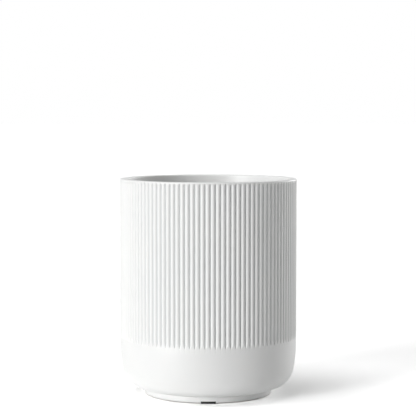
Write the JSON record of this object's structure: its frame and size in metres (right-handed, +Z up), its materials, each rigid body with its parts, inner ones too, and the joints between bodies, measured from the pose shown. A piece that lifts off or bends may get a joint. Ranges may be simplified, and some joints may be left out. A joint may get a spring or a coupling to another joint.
{
  "type": "utensil holder",
  "caption": "Round ribbed ceramic crock, open at the top, on a foot ring with small elastomer feet; stands kitchen utensils upright on a counter.",
  "frame": {"origin": "on the crock's axis, at the surface its feet stand on", "axes": "+Z up out of the mouth; -Y is the front, the side the picture shows, with one foot under it; +X is to the right seen from the front"},
  "size_m": [0.15, 0.15, 0.183],
  "materials": {
    "ceramic": "smooth satin white glaze",
    "foot_rubber": "matte black silicone"
  },
  "bodies": {
    "root": {"crock": "ceramic", "foot_pad_front": "foot_rubber", "foot_pad_rear_right": "foot_rubber", "foot_pad_rear_left": "foot_rubber"}
  },
  "joints": []
}
